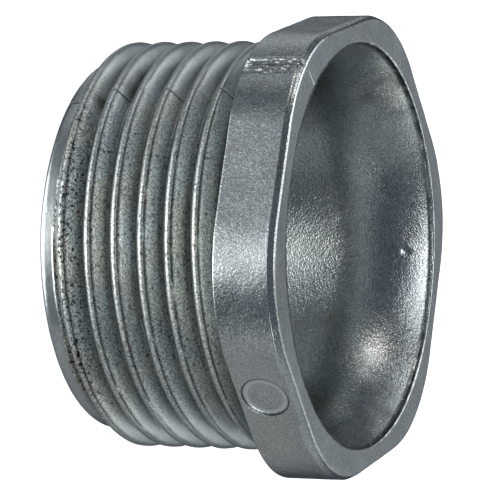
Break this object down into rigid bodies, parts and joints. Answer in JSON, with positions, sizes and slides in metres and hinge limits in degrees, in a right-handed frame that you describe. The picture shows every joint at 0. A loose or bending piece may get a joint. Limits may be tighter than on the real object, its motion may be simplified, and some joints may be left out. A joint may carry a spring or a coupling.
{
  "type": "conduit chase nipple",
  "caption": "Short die-cast zinc conduit nipple with a coarse right-hand pipe thread, a thin six-sided head and a flared mouth that lets wires pass through a box wall.",
  "frame": {"origin": "centre of the thread-end face, on the axis of the bore", "axes": "+Z along the bore axis, from the thread end to the flared mouth; +X through a corner of the six-sided head, on the mould's parting plane; -Y through the flat with the round witness mark"},
  "size_m": [0.0302, 0.0286, 0.0171],
  "materials": {
    "cast_zinc": "as-cast zinc, satin grey, slightly pitted and oxidised"
  },
  "bodies": {
    "root": {"chase_nipple": "cast_zinc"}
  },
  "joints": []
}
